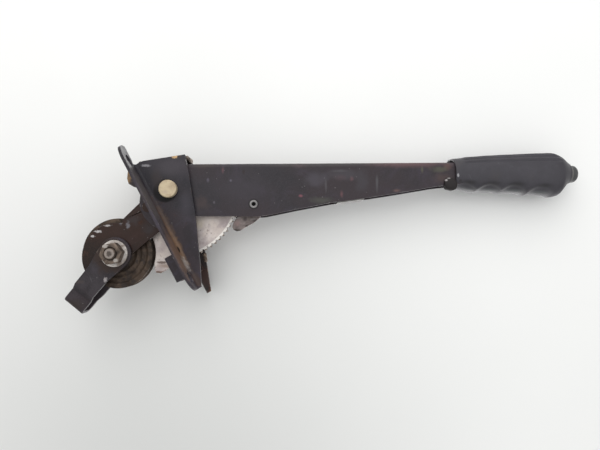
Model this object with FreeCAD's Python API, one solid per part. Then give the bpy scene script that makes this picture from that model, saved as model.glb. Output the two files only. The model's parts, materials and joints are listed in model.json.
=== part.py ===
import FreeCAD, Part
import math
import os

# Vehicle parking-brake lever: floor bracket, toothed sector, pressed lever,
# release pawl and button, and the arm with the cable pulley.
# Frame: origin at the centre of the four mounting holes, underside of the
# flanges at Z = 0, +X toward the front end of the bracket, +Y across.
# The lever group is drawn lying along +X about the pivot, then turned up.

V = FreeCAD.Vector

# ---- position of the lever group ----
PIVOT_X = -20.5
PIVOT_Z = 19.0
APPLIED_ANGLE = 62.0

# ---- pivot pin ----
PIN_R = 6.0
PIN_HEAD_R = 7.6
PIN_HEAD_T = 5.0
PIN_WASHER_R = 10.0
PIN_WASHER_T = 1.5
CIRCLIP_R = 8.4
CIRCLIP_T = 1.2
GROOVE_R = 5.4
PIN_TAIL = 2.0
RUNNING_GAP = 0.05

# ---- bracket ----
PLATE_T = 2.5
PLATE_IN_Y = 13.0
FLANGE_OUT_Y = 36.0
RIGHT_FLANGE_X = (-71.0, 67.5)
RIGHT_CORNER_R = 16.0
LEFT_FLANGE_X = (-63.0, 74.5)
LEFT_CORNER_R = 11.0
BEND_IN_R = 3.0
HOLE_R = 5.5
HOLE_X = 55.5
HOLE_Y = 24.5
EAR_NOTCH_X = -54.6
EAR_NOTCH_R = 2.0
SIDE_OUTLINE = [
    (-53.0, 0.0), (-53.4, 8.4), (-40.9, 45.2), (-23.6, 40.3), (-7.7, 34.9),
    (11.2, 28.6), (33.6, 19.2), (46.0, 14.5),
]
SIDE_FRONT_Z = 5.0
SIDE_FRONT_SETBACK = 0.3
BRIDGE_LOW = (-44.0, 36.1)
BRIDGE_HIGH = (-40.9, 45.2)
SUPPORT_X = (30.5, 54.0)
SUPPORT_LOW_Z = -13.0
SUPPORT_HIGH_Z = 9.0

# ---- toothed sector, angles in the lever's drawing frame ----
SECTOR_HALF_T = 2.25
TOOTH_TIP_R = 61.0
TOOTH_ROOT_R = 58.2
TOOTH_FIRST = -22.0
TOOTH_PITCH = 4.75
TOOTH_COUNT = 10
TOOTH_ROOT_AT = 0.55
HUB_R = 13.0
LOBE = [(-70.5, 61.0), (-77.0, 63.0), (-84.0, 65.0), (-91.0, 67.5), (-94.5, 71.0)]
LOBE_TIP = [(-97.5, 73.6), (-100.5, 73.8), (-102.0, 71.5), (-102.6, 68.0)]
PULLEY_SIDE = range(-16, 28, 6)
SECTOR_PULLEY_GAP = 1.5

# ---- lever channel ----
CH_HALF_W = 12.0
CH_T = 1.75
CH_CORNER_R = 3.5
CH_OUTLINE = [
    (-35.8, 22.5), (262.0, 25.1), (262.0, 6.6), (234.4, 3.6), (200.4, -2.3),
    (179.9, -5.5), (143.0, -10.7), (110.8, -16.8), (83.7, -22.5), (79.0, -23.1),
    (23.0, -23.1), (8.0, -32.0), (0.0, -35.0), (-8.4, -35.1), (-15.4, -30.6),
    (-21.4, -24.6), (-25.0, -17.5), (-26.0, -10.7), (-25.4, -5.0), (-26.4, 0.8),
    (-31.5, 2.6), (-35.6, 5.0), (-37.0, 9.8),
]

# ---- cable arm, pulley and cable guard ----
PULLEY_AT = (-46.3, -55.4)
PULLEY_R = 30.7
PULLEY_HALF_T = 6.0
GROOVE_DEPTH = 7.0
GROOVE_HALF_W = 4.2
GROOVE_FLOOR_HALF_W = 1.6
CHEEK_IN_Y = 7.25
CHEEK_OUT_Y = 10.25
CHEEK_DISC_R = 29.3
CHEEK_DISC_DROP = 2.6
CHEEK_STRAP = [
    (-41.3, -26.2), (-26.4, -11.4), (-15.0, 11.0), (-4.0, 15.0), (10.0, 13.0),
    (16.0, -14.0), (-16.1, -42.0), (-41.7, -64.2),
]
CHEEK_CUT_A = (-16.1, -42.0)
CHEEK_CUT_B = (-41.7, -64.2)
ARM_RIVETS_AT = [(-19.0, -15.0), (-3.0, -24.0)]
ARM_RIVET_R = 3.0
ARM_RIVET_HEAD_R = 4.6
ARM_RIVET_OUT_Y = 12.5
ARM_RIVET_IN_Y = 6.2
BUSH_R = 8.0
BOLT_R = 5.0
NUT_AF = 17.0
NUT_T = 8.0
BOLT_HEAD_T = 6.4
BOLT_STANDOUT = 2.2
WASHER_R = 11.5
WASHER_T = 2.0
GUARD_T = 3.0
GUARD_DIRECTION = 230.8
GUARD_TOP_R = 14.0
GUARD_JOGGLE_S = (41.0, 47.0)
GUARD_END_S = 60.2
GUARD_END_HALF_Y = 8.6
GUARD_OUTLINE = [(0.0, 14.0), (10.0, 12.8), (22.0, 10.4), (36.0, 10.0), (61.0, 9.8)]

# ---- pawl and its hollow rivet ----
PAWL_AT = (73.0, -12.4)
PAWL_HALF_T = 2.0
PAWL_OUTLINE = [
    (56.6, -24.2), (54.0, -29.0), (53.2, -32.0), (54.4, -34.6), (57.2, -35.8),
    (60.4, -35.4), (64.6, -32.6), (72.5, -28.2), (78.0, -23.4), (80.0, -17.5), (79.6, -9.0),
    (77.4, 2.0), (76.8, 17.0), (75.3, 18.9), (71.7, 18.9), (70.2, 17.0),
    (69.6, 2.0), (67.0, -8.0), (64.8, -14.5), (61.6, -20.0),
]
RIVET_R = 2.6
RIVET_HOLE_R = 1.9
RIVET_HOLE_DEEP = 7.0
RIVET_HEAD_R = 3.4
RIVET_HEAD_T = 0.9
PAWL_SPACER_R = 5.0
LINK_PIN_R = 2.0
LINK_PIN_HALF_L = 5.2

# ---- release rod, its spring and guides ----
ROD_B = 15.5
ROD_R = 2.5
ROD_FORK_A = (67.0, 85.0)
ROD_FORK_HALF_W = 4.6
ROD_FORK_HALF_H = 3.6
ROD_FORK_GAP = 2.4
ROD_SLOT_HALF_L = 2.35
ROD_SLOT_HALF_H = 2.8
ROD_END_A = 351.2
COLLAR_A = (272.0, 275.0)
COLLAR_R = 7.0
SEAT_A = (246.0, 247.5)
SPRING_COIL_R = 5.6
SPRING_WIRE_R = 0.8
SPRING_TURNS = 6
GUIDE_A = (146.0, 170.0)
GUIDE_T = 1.5
GUIDE_LEG_H = 9.0
GUIDE_B = -9.8
GUIDE_SLOPE = 8.0
GUIDE_POST_A = 157.0
GUIDE_POST_HALF_W = 6.0
GUIDE_POST_B = (-8.8, 20.3)
SEAT_B = (7.0, 21.5)

# ---- grip and button: station, top, bottom, half width ----
GRIP_STATIONS = [
    (250.0, 29.4, 2.0, 14.8), (258.0, 30.4, 0.6, 15.4), (266.5, 31.2, -0.7, 15.6),
    (277.5, 32.1, 0.6, 15.5), (290.6, 33.0, -0.9, 15.8), (300.6, 33.6, 0.2, 15.8),
    (314.6, 34.0, -2.3, 16.2), (326.7, 34.5, -1.1, 16.3), (335.0, 34.8, -3.2, 16.5),
    (342.6, 34.4, -4.4, 16.4), (347.0, 33.0, -2.2, 15.2), (351.0, 30.4, 2.2, 12.8),
    (354.6, 27.0, 6.0, 10.4), (355.6, 25.6, 7.0, 9.8),
]
GRIP_BORE_R = 8.55
POCKET_START_B = (5.0, 25.05)
POCKET_END_B = (6.5, 25.15)
POCKET_GAP = 0.02
BUTTON_R = 8.5
BUTTON_A = (344.2, 363.6)
BUTTON_EDGE_R = 2.2
BUTTON_SOCKET_A = 351.2


def prism(points, y_low, y_high):
    """Closed outline in the side plane, made thick across Y."""
    corners = [V(a, y_low, b) for a, b in points]
    face = Part.Face(Part.makePolygon(corners + [corners[0]]))
    return face.extrude(V(0, y_high - y_low, 0))


def round_bar(a, b, radius, y_low, y_high):
    """Cylinder across Y at a side-plane point."""
    return Part.makeCylinder(radius, y_high - y_low, V(a, y_low, b), V(0, 1, 0))


def rod_along(radius, a_low, a_high, b=ROD_B):
    """Cylinder along the lever."""
    return Part.makeCylinder(radius, a_high - a_low, V(a_low, 0, b), V(1, 0, 0))


def polar(radius, degrees):
    turn = math.radians(degrees)
    return (radius * math.cos(turn), radius * math.sin(turn))


def hexagon(a, b, across_flats, y_low, y_high):
    corner_r = across_flats / math.sqrt(3)
    points = []
    for step in range(6):
        da, db = polar(corner_r, 60 * step + 10)
        points.append((a + da, b + db))
    return prism(points, y_low, y_high)


def both_sides(shape):
    """A piece on +Y joined in one node with its mirror on -Y."""
    return Part.makeCompound([shape, shape.mirror(V(0, 0, 0), V(0, 1, 0))])


def place_lever(shape):
    """Turn a lever-group piece up to the applied position on the pivot."""
    placed = shape.copy()
    placed.rotate(V(0, 0, 0), V(0, -1, 0), APPLIED_ANGLE)
    placed.translate(V(PIVOT_X, 0, PIVOT_Z))
    return placed


def bent_plate_section(flange_x):
    """Plate and outward flange as one bent sheet, long enough to trim."""
    rear, front = flange_x
    length = front - rear
    out_r = BEND_IN_R + PLATE_T
    tall = 60.0
    plate = Part.makeBox(length, PLATE_T, tall, V(rear, PLATE_IN_Y, out_r))
    start_y = PLATE_IN_Y + out_r
    width = FLANGE_OUT_Y - start_y
    flange = Part.makeBox(length, width, PLATE_T, V(rear, start_y, 0))
    centre = V(rear, start_y, out_r)
    outer = Part.makeCylinder(out_r, length, centre, V(1, 0, 0))
    inner = Part.makeCylinder(BEND_IN_R, length, centre, V(1, 0, 0))
    corner = Part.makeBox(length, out_r, out_r, V(rear, PLATE_IN_Y, 0))
    bend = outer.cut(inner).common(corner)
    return plate.fuse([flange, bend]).removeSplitter()


def flange_plan(flange_x, corner_r):
    """Plan outline of the mounting foot with rounded outer corners."""
    rear, front = flange_x
    deep = 80.0
    body = Part.makeBox(front - rear, FLANGE_OUT_Y, deep, V(rear, 0, -1))
    edges = []
    for edge in body.Edges:
        low = edge.BoundBox
        upright = low.ZLength > deep - 1
        if upright and low.YMin > FLANGE_OUT_Y - 1:
            edges.append(edge)
    return body.makeFillet(corner_r, edges)


def bracket_plate(flange_x, corner_r):
    """Side plate with its flange, drawn on +Y."""
    sheet = bent_plate_section(flange_x).common(flange_plan(flange_x, corner_r))
    foot_zone = Part.makeBox(200, 60, 20, V(-100, PLATE_IN_Y, -1))
    tip_x = flange_x[1] - SIDE_FRONT_SETBACK
    front = [(tip_x, SIDE_FRONT_Z), (tip_x, 0.0)]
    side_zone = prism(SIDE_OUTLINE + front, 0, FLANGE_OUT_Y)
    ear_zone = Part.makeBox(200, 60, PLATE_T + 0.1, V(-100, PLATE_IN_Y + PLATE_T, -0.1))
    keep = side_zone.fuse(ear_zone)
    sheet = sheet.common(keep)
    for hole_x in (-HOLE_X, HOLE_X):
        sheet = sheet.cut(Part.makeCylinder(HOLE_R, 10, V(hole_x, HOLE_Y, -5)))
    notch_at = V(EAR_NOTCH_X, PLATE_IN_Y + PLATE_T, -5)
    sheet = sheet.cut(Part.makeCylinder(EAR_NOTCH_R, 15, notch_at))
    pin = round_bar(PIVOT_X, PIVOT_Z, PIN_R, 0, FLANGE_OUT_Y)
    return sheet.cut(pin).common(foot_zone.fuse(side_zone))


def bracket_rear_bridge():
    low = V(BRIDGE_LOW[0], 0, BRIDGE_LOW[1])
    high = V(BRIDGE_HIGH[0], 0, BRIDGE_HIGH[1])
    along = high - low
    inward = V(along.z, 0, -along.x).normalize() * PLATE_T
    points = []
    for corner in (low, high, high + inward, low + inward):
        points.append((corner.x, corner.z))
    return prism(points, -PLATE_IN_Y, PLATE_IN_Y)


def sector_support():
    """Angle piece on the inside of a bracket plate that holds the sector."""
    x_low, x_high = SUPPORT_X
    length = x_high - x_low
    tall = SUPPORT_HIGH_Z - SUPPORT_LOW_Z
    upright = Part.makeBox(length, PLATE_T, tall, V(x_low, PLATE_IN_Y - PLATE_T, SUPPORT_LOW_Z))
    reach = PLATE_IN_Y - SECTOR_HALF_T
    foot = Part.makeBox(length, reach, PLATE_T, V(x_low, SECTOR_HALF_T, SUPPORT_LOW_Z))
    angle = upright.fuse(foot).removeSplitter()
    edges = []
    for edge in angle.Edges:
        box = edge.BoundBox
        along_x = box.XLength > length - 1
        if along_x and box.ZMin < SUPPORT_LOW_Z + 0.1 and box.YMin > PLATE_IN_Y - 0.1:
            edges.append(edge)
    return angle.makeFillet(BEND_IN_R, edges)


def ratchet_sector():
    points = [(HUB_R, 0.0), polar(TOOTH_TIP_R, TOOTH_FIRST + 1.2)]
    for tooth in range(TOOTH_COUNT):
        angle = TOOTH_FIRST - tooth * TOOTH_PITCH
        points.append(polar(TOOTH_TIP_R, angle))
        points.append(polar(TOOTH_ROOT_R, angle - TOOTH_ROOT_AT * TOOTH_PITCH))
    for angle, radius in LOBE + LOBE_TIP:
        points.append(polar(radius, angle))
    edge_r = PULLEY_R + SECTOR_PULLEY_GAP
    for angle in PULLEY_SIDE:
        da, db = polar(edge_r, angle)
        points.append((PULLEY_AT[0] + da, PULLEY_AT[1] + db))
    points.append((-HUB_R, 0.0))
    blank = prism(points, -SECTOR_HALF_T, SECTOR_HALF_T)
    hub = round_bar(0, 0, HUB_R, -SECTOR_HALF_T, SECTOR_HALF_T)
    bore = round_bar(0, 0, PIN_R, -SECTOR_HALF_T, SECTOR_HALF_T)
    return blank.fuse(hub).cut(bore).removeSplitter()


def pivot_pin():
    plate_out = PLATE_IN_Y + PLATE_T
    groove_y = plate_out + PIN_WASHER_T
    end_y = groove_y + CIRCLIP_T + PIN_TAIL
    shank = round_bar(PIVOT_X, PIVOT_Z, PIN_R, -plate_out, end_y)
    head = round_bar(PIVOT_X, PIVOT_Z, PIN_HEAD_R, -plate_out - PIN_HEAD_T, -plate_out)
    edge = [e for e in head.Edges if e.BoundBox.YMax < -plate_out - PIN_HEAD_T + 0.1]
    head = head.makeChamfer(0.6, edge)
    ring = round_bar(PIVOT_X, PIVOT_Z, PIN_R + 1, groove_y, groove_y + CIRCLIP_T)
    ring = ring.cut(round_bar(PIVOT_X, PIVOT_Z, GROOVE_R, groove_y, groove_y + CIRCLIP_T))
    return shank.fuse(head).cut(ring).removeSplitter()


def pivot_washer():
    low = PLATE_IN_Y + PLATE_T
    disc = round_bar(PIVOT_X, PIVOT_Z, PIN_WASHER_R, low, low + PIN_WASHER_T)
    return disc.cut(round_bar(PIVOT_X, PIVOT_Z, PIN_R, low, low + PIN_WASHER_T))


def pivot_circlip():
    low = PLATE_IN_Y + PLATE_T + PIN_WASHER_T
    high = low + CIRCLIP_T
    clip = round_bar(PIVOT_X, PIVOT_Z, CIRCLIP_R, low, high)
    clip = clip.cut(round_bar(PIVOT_X, PIVOT_Z, GROOVE_R, low, high))
    mouth = Part.makeBox(7.0, CIRCLIP_T, 2 * CIRCLIP_R, V(PIVOT_X - 3.5, low, PIVOT_Z))
    return clip.cut(mouth)


def long_top_edges(shape, half_width, shortest):
    chosen = []
    for edge in shape.Edges:
        box = edge.BoundBox
        on_side = box.YLength < 0.01 and abs(abs(box.YMin) - half_width) < 0.01
        if on_side and box.XLength > shortest and box.ZMin > 15:
            chosen.append(edge)
    return chosen


def lever_channel():
    outer = prism(CH_OUTLINE, -CH_HALF_W, CH_HALF_W)
    outer = outer.makeFillet(CH_CORNER_R, long_top_edges(outer, CH_HALF_W, 200))
    rear_a, rear_b = CH_OUTLINE[0]
    front_a, front_b = CH_OUTLINE[1]
    hollow_half = CH_HALF_W - CH_T
    low = -60.0
    top_rear = (rear_a - 10, rear_b - CH_T - 0.1)
    top_front = (front_a + 10, front_b - CH_T + 0.1)
    hollow = prism([top_rear, top_front, (front_a + 10, low), (rear_a - 10, low)],
                   -hollow_half, hollow_half)
    hollow = hollow.makeFillet(CH_CORNER_R - CH_T, long_top_edges(hollow, hollow_half, 200))
    channel = outer.cut(hollow)
    holes = [round_bar(0, 0, PIN_R + RUNNING_GAP, -20, 20)]
    holes.append(round_bar(PAWL_AT[0], PAWL_AT[1], RIVET_R, -20, 20))
    for a, b in ARM_RIVETS_AT:
        holes.append(round_bar(a, b, ARM_RIVET_R, -20, 20))
    return channel.cut(holes)


def pivot_spacers():
    """Tubes that centre the arm plates on each side of the sector."""
    low = SECTOR_HALF_T + 0.35
    tube = round_bar(0, 0, PIN_R + 3.5, low, CHEEK_IN_Y)
    return both_sides(tube.cut(round_bar(0, 0, PIN_R + RUNNING_GAP, low, CHEEK_IN_Y)))


def arm_plate():
    strap = prism(CHEEK_STRAP, CHEEK_IN_Y, CHEEK_OUT_Y)
    disc_b = PULLEY_AT[1] - CHEEK_DISC_DROP
    disc = round_bar(PULLEY_AT[0], disc_b, CHEEK_DISC_R, CHEEK_IN_Y, CHEEK_OUT_Y)
    start = V(CHEEK_CUT_A[0], 0, CHEEK_CUT_A[1])
    along = V(CHEEK_CUT_B[0], 0, CHEEK_CUT_B[1]) - start
    along.normalize()
    outward = V(-along.z, 0, along.x)
    corners = [start - along * 90, start + along * 120]
    corners += [corners[1] + outward * 60, corners[0] + outward * 60]
    waste = prism([(c.x, c.z) for c in corners], CHEEK_IN_Y, CHEEK_OUT_Y)
    plate = strap.fuse(disc.cut(waste))
    holes = [round_bar(0, 0, PIN_R + RUNNING_GAP, 0, 20)]
    holes.append(round_bar(PULLEY_AT[0], PULLEY_AT[1], BOLT_R, 0, 20))
    for a, b in ARM_RIVETS_AT:
        holes.append(round_bar(a, b, ARM_RIVET_R, 0, 20))
    return plate.cut(holes).removeSplitter()


def arm_rivets():
    rivets = []
    for a, b in ARM_RIVETS_AT:
        shank = round_bar(a, b, ARM_RIVET_R, ARM_RIVET_IN_Y, ARM_RIVET_OUT_Y)
        inner = round_bar(a, b, ARM_RIVET_HEAD_R, ARM_RIVET_IN_Y, CHEEK_IN_Y)
        outer = round_bar(a, b, ARM_RIVET_HEAD_R, CH_HALF_W, ARM_RIVET_OUT_Y)
        rivet = shank.fuse([inner, outer]).removeSplitter()
        rivets.append(rivet)
        rivets.append(rivet.mirror(V(0, 0, 0), V(0, 1, 0)))
    return Part.makeCompound(rivets)


def guard_strip(half_y_add):
    """Solid under the outer skin of the U strap, drawn along +X then turned."""
    s1, s2 = GUARD_JOGGLE_S
    wide = CHEEK_OUT_Y + half_y_add
    narrow = GUARD_END_HALF_Y - GUARD_T + half_y_add
    end_s = GUARD_END_S - GUARD_T + half_y_add
    rear_s = -GUARD_TOP_R - 1
    corner = 2.0 + half_y_add
    points = [(rear_s, wide), (s1, wide), (s2, narrow), (end_s - corner, narrow)]
    for step in range(1, 6):
        turn = math.radians(90 - 15 * step)
        points.append((end_s - corner + corner * math.cos(turn),
                       narrow - corner + corner * math.sin(turn)))
    points.append((end_s, narrow - corner))
    lower = [(s, -y) for s, y in reversed(points)]
    corners = [V(s, y, -30) for s, y in points + lower]
    face = Part.Face(Part.makePolygon(corners + [corners[0]]))
    return face.extrude(V(0, 0, 60))


def cable_guard():
    """U strap bolted outside the arm plates that keeps the cable in the groove."""
    strap = guard_strip(GUARD_T).cut(guard_strip(0.0))
    upper = list(GUARD_OUTLINE)
    lower = [(s, -t) for s, t in reversed(GUARD_OUTLINE)]
    outline = prism(upper + lower, -20, 20)
    outline = outline.fuse(round_bar(0, 0, GUARD_TOP_R, -20, 20))
    strap = strap.common(outline)
    strap = strap.cut(round_bar(0, 0, BOLT_R, -20, 20)).removeSplitter()
    strap.rotate(V(0, 0, 0), V(0, -1, 0), GUARD_DIRECTION)
    strap.translate(V(PULLEY_AT[0], 0, PULLEY_AT[1]))
    return strap


def guard_outer_y():
    return CHEEK_OUT_Y + GUARD_T


def pulley_bolt():
    a, b = PULLEY_AT
    head_y = guard_outer_y() + WASHER_T
    end_y = -(head_y + NUT_T + BOLT_STANDOUT)
    shank = round_bar(a, b, BOLT_R, end_y, head_y)
    tip = [e for e in shank.Edges if e.BoundBox.YMax < end_y + 0.1]
    shank = shank.makeChamfer(1.0, tip)
    head = hexagon(a, b, NUT_AF, head_y, head_y + BOLT_HEAD_T)
    return shank.fuse(head).removeSplitter()


def pulley_nut():
    a, b = PULLEY_AT
    seat_y = -(guard_outer_y() + WASHER_T)
    nut = hexagon(a, b, NUT_AF, seat_y - NUT_T, seat_y)
    return nut.cut(round_bar(a, b, BOLT_R, seat_y - NUT_T, seat_y))


def pulley_washers():
    a, b = PULLEY_AT
    low = guard_outer_y()
    washer = round_bar(a, b, WASHER_R, low, low + WASHER_T)
    return both_sides(washer.cut(round_bar(a, b, BOLT_R, low, low + WASHER_T)))


def pulley_bush():
    a, b = PULLEY_AT
    bush = round_bar(a, b, BUSH_R, -CHEEK_IN_Y, CHEEK_IN_Y)
    return bush.cut(round_bar(a, b, BOLT_R, -CHEEK_IN_Y, CHEEK_IN_Y))


def cable_pulley():
    """Grooved wheel, turned from its half section about the bolt."""
    bore = BUSH_R + RUNNING_GAP
    floor_r = PULLEY_R - GROOVE_DEPTH
    section = [
        (bore, -PULLEY_HALF_T), (PULLEY_R, -PULLEY_HALF_T), (PULLEY_R, -GROOVE_HALF_W),
        (floor_r, -GROOVE_FLOOR_HALF_W), (floor_r, GROOVE_FLOOR_HALF_W),
        (PULLEY_R, GROOVE_HALF_W), (PULLEY_R, PULLEY_HALF_T), (bore, PULLEY_HALF_T),
    ]
    corners = [V(r, y, 0) for r, y in section]
    face = Part.Face(Part.makePolygon(corners + [corners[0]]))
    wheel = face.revolve(V(0, 0, 0), V(0, 1, 0), 360)
    wheel.translate(V(PULLEY_AT[0], 0, PULLEY_AT[1]))
    return wheel


def pawl():
    a, b = PAWL_AT
    plate = prism(PAWL_OUTLINE, -PAWL_HALF_T, PAWL_HALF_T)
    bore = round_bar(a, b, RIVET_R + RUNNING_GAP, -5, 5)
    link = round_bar(a + 0.5, ROD_B, LINK_PIN_R, -5, 5)
    return plate.cut([bore, link])


def pawl_link_pin():
    return round_bar(PAWL_AT[0] + 0.5, ROD_B, LINK_PIN_R, -LINK_PIN_HALF_L, LINK_PIN_HALF_L)


def pawl_rivet():
    """Rivet across the channel that the pawl swings on, hollow at both ends."""
    a, b = PAWL_AT
    out_y = CH_HALF_W + RIVET_HEAD_T
    tube = round_bar(a, b, RIVET_R, -out_y, out_y)
    head = round_bar(a, b, RIVET_HEAD_R, CH_HALF_W, out_y)
    far_head = round_bar(a, b, RIVET_HEAD_R, -out_y, -CH_HALF_W)
    hole = round_bar(a, b, RIVET_HOLE_R, out_y - RIVET_HOLE_DEEP, out_y)
    far_hole = round_bar(a, b, RIVET_HOLE_R, -out_y, RIVET_HOLE_DEEP - out_y)
    return tube.fuse([head, far_head]).cut([hole, far_hole]).removeSplitter()


def pawl_spacers():
    a, b = PAWL_AT
    low = PAWL_HALF_T + 0.35
    high = CH_HALF_W - CH_T
    tube = round_bar(a, b, PAWL_SPACER_R, low, high)
    return both_sides(tube.cut(round_bar(a, b, RIVET_R, low, high)))


def release_rod():
    """Round rod with a flattened, slotted fork at the pawl end."""
    fork_low, fork_high = ROD_FORK_A
    length = fork_high - fork_low
    fork = Part.makeBox(length, 2 * ROD_FORK_HALF_W, 2 * ROD_FORK_HALF_H,
                        V(fork_low, -ROD_FORK_HALF_W, ROD_B - ROD_FORK_HALF_H))
    mouth = Part.makeBox(length - 3.0, 2 * ROD_FORK_GAP, 20,
                         V(fork_low - 1, -ROD_FORK_GAP, ROD_B - 10))
    slot = Part.makeBox(2 * ROD_SLOT_HALF_L, 20, 2 * ROD_SLOT_HALF_H,
                        V(PAWL_AT[0] + 0.5 - ROD_SLOT_HALF_L, -10, ROD_B - ROD_SLOT_HALF_H))
    bar = rod_along(ROD_R, fork_high - 1, ROD_END_A)
    return fork.cut([mouth, slot]).fuse(bar).removeSplitter()


def rod_collar():
    low, high = COLLAR_A
    return rod_along(COLLAR_R, low, high).cut(rod_along(ROD_R, low, high))


def rod_spring():
    low = SEAT_A[1] + SPRING_WIRE_R + 0.05
    high = COLLAR_A[0] - SPRING_WIRE_R - 0.35
    pitch = (high - low) / SPRING_TURNS
    path = Part.makeHelix(pitch, high - low, SPRING_COIL_R)
    wire = Part.Wire(Part.makeCircle(SPRING_WIRE_R, V(SPRING_COIL_R, 0, 0), V(0, 1, 0)))
    coil = Part.Wire(path.Edges).makePipeShell([wire], True, True)
    coil = Part.Solid(coil) if coil.ShapeType == "Shell" else coil
    coil.rotate(V(0, 0, 0), V(0, 1, 0), 90)
    coil.translate(V(low, 0, ROD_B))
    return coil


def spring_seat():
    low, high = SEAT_A
    half = CH_HALF_W - CH_T
    seat_low, seat_high = SEAT_B
    plate = Part.makeBox(high - low, 2 * half, seat_high - seat_low, V(low, -half, seat_low))
    return plate.cut(rod_along(ROD_R + RUNNING_GAP, low, high))


def rod_guide():
    """Clip across the open side of the lever with an eye for the rod."""
    low, high = GUIDE_A
    half = CH_HALF_W - CH_T
    length = high - low
    base = Part.makeBox(length, 2 * half, GUIDE_T, V(0, -half, -GUIDE_T))
    leg = Part.makeBox(length, GUIDE_T, GUIDE_LEG_H, V(0, half - GUIDE_T, 0))
    far_leg = Part.makeBox(length, GUIDE_T, GUIDE_LEG_H, V(0, -half, 0))
    clip = base.fuse([leg, far_leg])
    clip.rotate(V(0, 0, 0), V(0, -1, 0), GUIDE_SLOPE)
    clip.translate(V(low, 0, GUIDE_B))
    post_low, post_high = GUIDE_POST_B
    post = Part.makeBox(GUIDE_T, 2 * GUIDE_POST_HALF_W, post_high - post_low,
                        V(GUIDE_POST_A, -GUIDE_POST_HALF_W, post_low))
    whole = clip.fuse(post)
    eye = rod_along(ROD_R + RUNNING_GAP, low, high)
    return whole.cut(eye).removeSplitter()


def grip_section(station):
    a, top, bottom, half_w = station
    half_h = (top - bottom) / 2
    centre = V(a, 0, (top + bottom) / 2)
    big = max(half_h, half_w)
    small = min(half_h, half_w)
    ellipse = Part.Ellipse(V(0, 0, 0), big, small).toShape()
    if half_w >= half_h:
        turned = FreeCAD.Rotation(V(0, 1, 0), V(0, 0, 1), V(1, 0, 0), "XYZ")
    else:
        turned = FreeCAD.Rotation(V(0, 0, 1), V(0, -1, 0), V(1, 0, 0), "XYZ")
    ellipse.Placement = FreeCAD.Placement(centre, turned)
    return Part.Wire(ellipse)


def grip():
    skin = Part.makeLoft([grip_section(s) for s in GRIP_STATIONS], True, True)
    start_a = GRIP_STATIONS[0][0]
    channel_end = CH_OUTLINE[1][0]
    bore = rod_along(GRIP_BORE_R, start_a - 1, GRIP_STATIONS[-1][0] + 1)
    half = CH_HALF_W + POCKET_GAP
    pocket = prism([(start_a - 1, POCKET_START_B[1]), (channel_end, POCKET_END_B[1]),
                    (channel_end, POCKET_END_B[0]), (start_a - 1, POCKET_START_B[0])],
                   -half, half)
    return skin.cut([bore, pocket])


def push_button():
    low, high = BUTTON_A
    body = rod_along(BUTTON_R, low, high)
    rim = [e for e in body.Edges if e.BoundBox.XMin > high - 0.1]
    body = body.makeFillet(BUTTON_EDGE_R, rim)
    return body.cut(rod_along(ROD_R, low - 1, BUTTON_SOCKET_A))


BRACKET_NODES = {
    "bracket_left_plate": bracket_plate(LEFT_FLANGE_X, LEFT_CORNER_R),
    "bracket_right_plate": bracket_plate(RIGHT_FLANGE_X, RIGHT_CORNER_R).mirror(V(0, 0, 0), V(0, 1, 0)),
    "bracket_rear_bridge": bracket_rear_bridge(),
    "sector_support_left": sector_support(),
    "sector_support_right": sector_support().mirror(V(0, 0, 0), V(0, 1, 0)),
    "ratchet_sector": place_lever(ratchet_sector()),
    "pivot_pin": pivot_pin(),
    "pivot_washer": pivot_washer(),
    "pivot_circlip": pivot_circlip(),
}

LEVER_NODES = {
    "lever_channel": lever_channel(),
    "pivot_spacers": pivot_spacers(),
    "arm_plate_left": arm_plate(),
    "arm_plate_right": arm_plate().mirror(V(0, 0, 0), V(0, 1, 0)),
    "arm_rivets": arm_rivets(),
    "cable_guard": cable_guard(),
    "pulley_bolt": pulley_bolt(),
    "pulley_nut": pulley_nut(),
    "pulley_washers": pulley_washers(),
    "pulley_bush": pulley_bush(),
    "cable_pulley": cable_pulley(),
    "pawl": pawl(),
    "pawl_link_pin": pawl_link_pin(),
    "pawl_rivet": pawl_rivet(),
    "pawl_spacers": pawl_spacers(),
    "release_rod": release_rod(),
    "rod_collar": rod_collar(),
    "rod_spring": rod_spring(),
    "spring_seat": spring_seat(),
    "rod_guide": rod_guide(),
    "grip": grip(),
    "push_button": push_button(),
}

os.makedirs("parts", exist_ok=True)
for name, shape in BRACKET_NODES.items():
    shape.exportStep("parts/" + name + ".step")
for name, shape in LEVER_NODES.items():
    place_lever(shape).exportStep("parts/" + name + ".step")
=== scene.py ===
import json
import math

import bmesh
import bpy
from mathutils import Matrix, Vector, noise


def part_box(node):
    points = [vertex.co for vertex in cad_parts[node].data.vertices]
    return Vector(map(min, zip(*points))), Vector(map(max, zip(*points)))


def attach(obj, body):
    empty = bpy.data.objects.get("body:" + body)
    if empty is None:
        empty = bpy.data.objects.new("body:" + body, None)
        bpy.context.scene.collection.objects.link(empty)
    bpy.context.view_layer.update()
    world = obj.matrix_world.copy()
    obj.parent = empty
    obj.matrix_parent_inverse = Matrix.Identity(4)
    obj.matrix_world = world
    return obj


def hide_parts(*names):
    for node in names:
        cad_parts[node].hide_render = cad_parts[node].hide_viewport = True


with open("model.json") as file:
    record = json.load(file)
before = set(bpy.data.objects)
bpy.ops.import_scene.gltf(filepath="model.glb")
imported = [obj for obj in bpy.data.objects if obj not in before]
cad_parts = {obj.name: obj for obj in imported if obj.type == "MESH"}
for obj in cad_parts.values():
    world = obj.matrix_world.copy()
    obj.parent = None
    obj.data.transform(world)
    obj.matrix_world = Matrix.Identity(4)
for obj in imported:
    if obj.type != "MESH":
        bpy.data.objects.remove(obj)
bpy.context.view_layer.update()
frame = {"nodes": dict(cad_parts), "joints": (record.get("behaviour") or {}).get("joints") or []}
NODES = frame["nodes"]
JOINTS = {j["name"]: j for j in frame["joints"]}

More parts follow.
